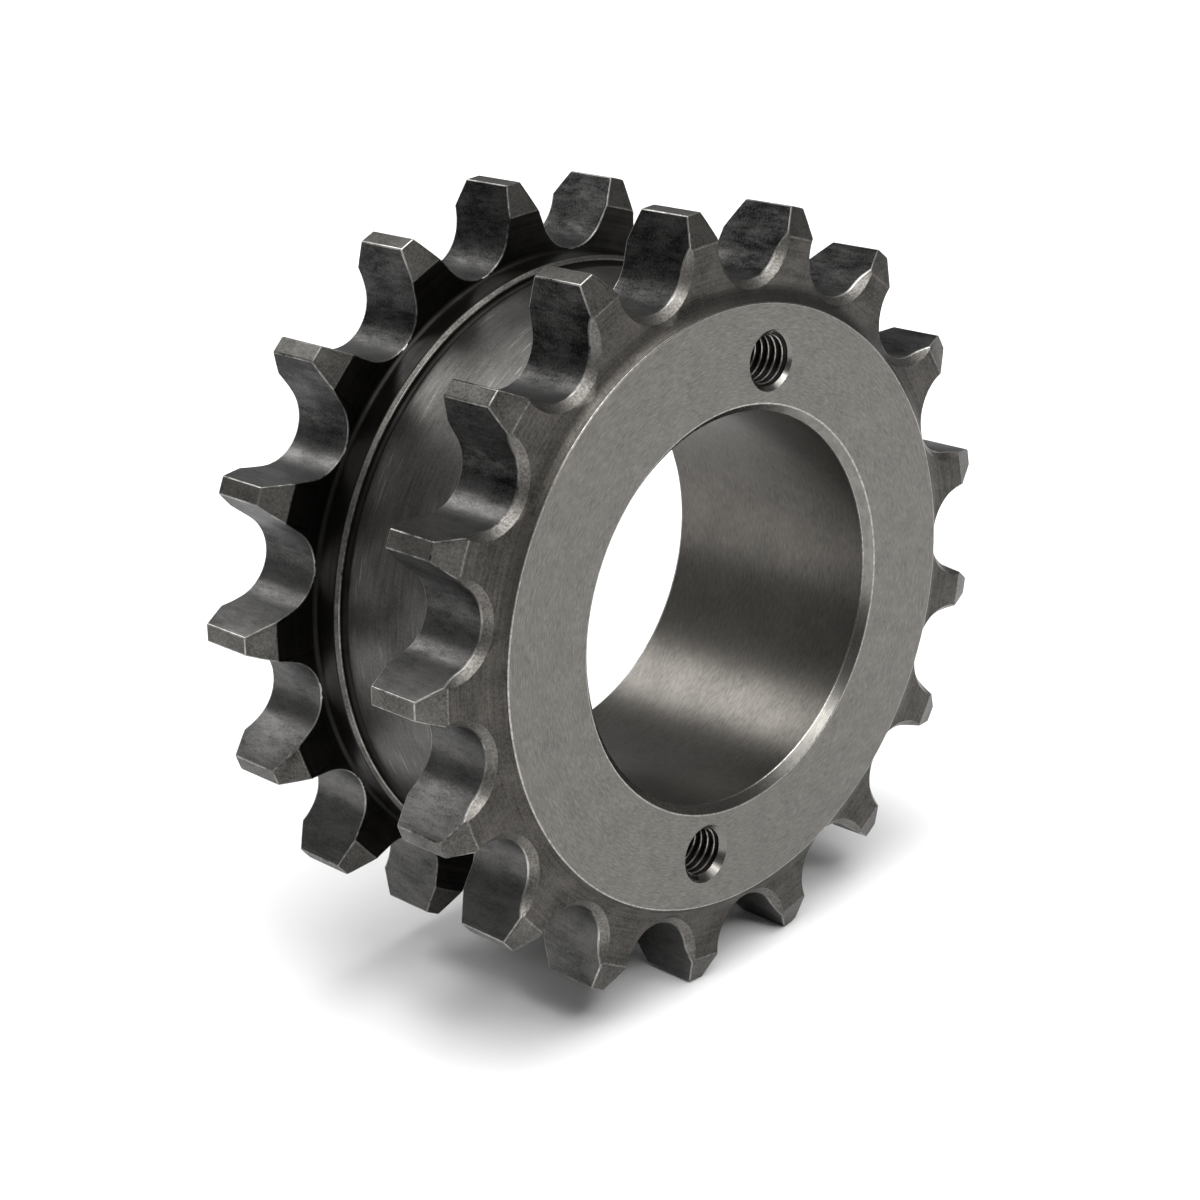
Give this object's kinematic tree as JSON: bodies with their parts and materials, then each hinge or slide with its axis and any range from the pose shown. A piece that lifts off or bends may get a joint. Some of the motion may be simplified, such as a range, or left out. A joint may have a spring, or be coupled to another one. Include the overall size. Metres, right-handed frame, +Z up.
{
  "type": "chain sprocket",
  "caption": "One-piece steel sprocket with two rows of teeth for two single chains, a plain bore, and tapped holes in the machined front face.",
  "frame": {"origin": "centre of the bore in the plane of the machined ring on the front face", "axes": "+Y along the bore from the front face to the rear row, +X to the right seen from the front, +Z up, with a tooth of each row straight up and a tooth gap straight down"},
  "size_m": [0.1118, 0.0485, 0.1113],
  "materials": {
    "machined_steel": "turned and milled carbon steel, darkened tooth rows, satin"
  },
  "bodies": {
    "root": {"sprocket": "machined_steel"}
  },
  "joints": []
}
